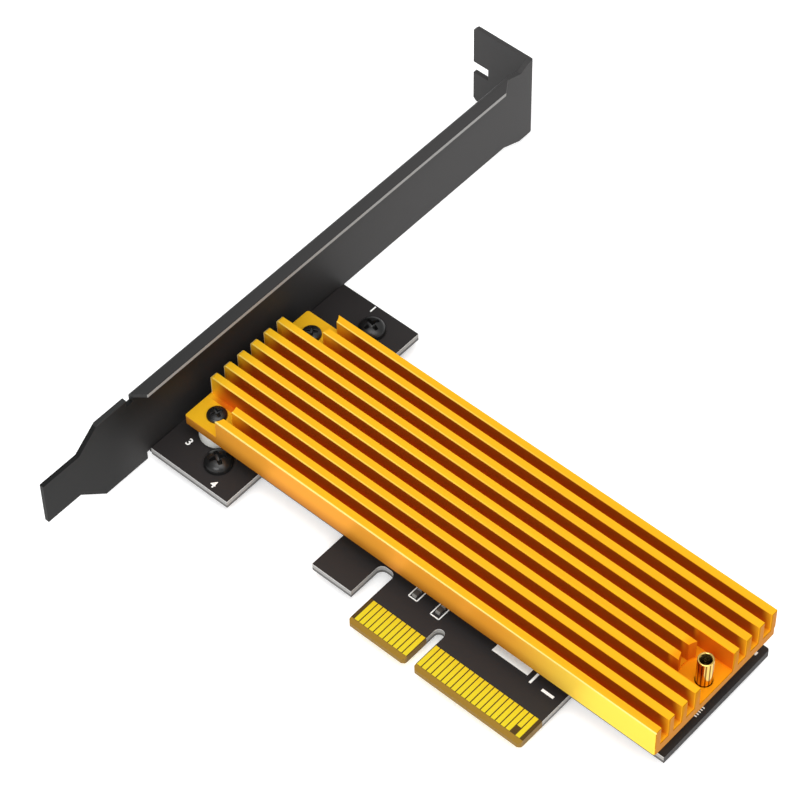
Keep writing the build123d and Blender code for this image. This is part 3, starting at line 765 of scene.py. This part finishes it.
# %% Plain numerals beside the screws
def numeral(name, digits, place, tall):
    """Plain figures as a thin solid: text made a mesh, then its corners are moved to their place."""
    words = bpy.data.curves.new(name, "FONT")
    words.body = digits
    words.size = tall
    words.extrude = ink_thickness / 2.0
    words.offset = 0.02 * tall
    words.align_x, words.align_y = "CENTER", "CENTER"
    holder = bpy.data.objects.new(name + "_words", words)
    bpy.context.scene.collection.objects.link(holder)
    shaped = holder.evaluated_get(bpy.context.evaluated_depsgraph_get())
    mesh = bpy.data.meshes.new_from_object(shaped)
    bpy.data.objects.remove(holder)
    corners = np.empty(len(mesh.vertices) * 3)
    mesh.vertices.foreach_get("co", corners)
    corners = corners.reshape(-1, 3) + np.array([place[0], place[1], ink_thickness / 2.0])
    mesh.vertices.foreach_set("co", corners.ravel())
    mesh.materials.clear()
    mesh.materials.append(white_ink)
    return new_piece(name, mesh)


numerals = [numeral("numeral_" + digits, digits, (x * MM, y * MM), 1.95 * MM)
            for digits, x, y in (("1", 7.9, 50.3), ("3", 4.2, 9.3), ("4", 13.2, 5.6))]
print("numerals printed:", len(numerals))

# %% [markdown]
# ## The studio
# A pale floor touches the lowest point of the part. Its material adds white for camera,
# mirror and glass rays only, so the background is white and the shadow of the object stays.
# Five large soft lamps and an even grey world light the part at a plain level.

# %% Floor
floor_size = 3.0
floor_glow = 0.42
floor_z = float(cad_box[0][2])
floor_mesh = bpy.data.meshes.new("floor")
half = floor_size / 2.0
floor_mesh.from_pydata([(-half, -half, floor_z), (half, -half, floor_z), (half, half, floor_z),
                        (-half, half, floor_z)], [], [(0, 1, 2, 3)])
floor = bpy.data.objects.new("floor", floor_mesh)
bpy.context.scene.collection.objects.link(floor)
floor_white = finish("floor_white", (238, 238, 238), rough=0.9)
floor_light = Pattern(floor_white)
floor_light.shader.inputs["Emission Color"].default_value = (1.0, 1.0, 1.0, 1.0)
rays = floor_light.node("ShaderNodeLightPath")
seen = floor_light.step("MAXIMUM", rays.outputs["Is Camera Ray"], rays.outputs["Is Glossy Ray"])
seen = floor_light.step("MAXIMUM", seen, rays.outputs["Is Transmission Ray"])
glow = floor_light.step("MULTIPLY", seen, floor_glow)
floor_light.join(glow, floor_light.shader.inputs["Emission Strength"])
floor_mesh.materials.append(floor_white)
print("floor height:", round(floor_z / MM, 2), "mm")

# %% World and lamps
world_level = 0.55
world = bpy.data.worlds.new("studio")
bpy.context.scene.world = world
world.use_nodes = True
backdrop = world.node_tree.nodes["Background"]
backdrop.inputs["Color"].default_value = (1.0, 1.0, 1.0, 1.0)
world_rays = world.node_tree.nodes.new("ShaderNodeLightPath")
world_mix = world.node_tree.nodes.new("ShaderNodeMapRange")
world_mix.inputs["To Min"].default_value = world_level
world_mix.inputs["To Max"].default_value = 1.0
world.node_tree.links.new(world_rays.outputs["Is Camera Ray"], world_mix.inputs["Value"])
world.node_tree.links.new(world_mix.outputs["Result"], backdrop.inputs["Strength"])


def soft_lamp(name, place, size, power):
    """A square area lamp at place that faces the middle of the part."""
    lamp_data = bpy.data.lights.new(name, "AREA")
    lamp_data.size = size
    lamp_data.energy = power
    lamp = bpy.data.objects.new(name, lamp_data)
    lamp.location = place
    direction = middle - np.array(place)
    lamp.rotation_mode = "QUATERNION"
    lamp.rotation_quaternion = mathutils.Vector(direction.tolist()).to_track_quat("-Z", "Y")
    bpy.context.scene.collection.objects.link(lamp)
    return lamp


middle = (np.array(cad_box[0]) + np.array(cad_box[1])) / 2.0
lamps = [
    soft_lamp("key lamp", (-0.25, 0.35, 0.75), 0.5, 0.35),
    soft_lamp("ceiling lamp", (0.08, -0.05, 0.9), 0.5, 2.2),
    soft_lamp("top lamp", (0.45, -0.05, 0.7), 0.5, 1.6),
    soft_lamp("side lamp", (0.75, 0.05, 0.35), 0.45, 0.4),
    soft_lamp("front lamp", (0.3, -0.6, 0.55), 0.45, 3.3),
]
print("lamps:", [(lamp.name, round(lamp.data.energy, 2)) for lamp in lamps])

# %% [markdown]
# ## The camera
# The photograph was taken from far away with a long lens, about 50 degrees above the board.
# The pose was fitted to known sizes of the card, so it is written here as plain numbers.

# %% Camera and colour
camera_data = bpy.data.cameras.new("camera")
camera_data.sensor_width = 36.0
camera_data.lens = 143.845
camera_data.clip_start = 0.01
camera = bpy.data.objects.new("camera", camera_data)
camera.location = (0.24837, -0.20636, 0.41138)
camera.rotation_euler = (radians(38.8871), radians(0.7723), radians(41.4809))
bpy.context.scene.collection.objects.link(camera)
bpy.context.scene.camera = camera
bpy.context.scene.view_settings.view_transform = "Standard"
print("camera lens:", camera_data.lens, "mm")
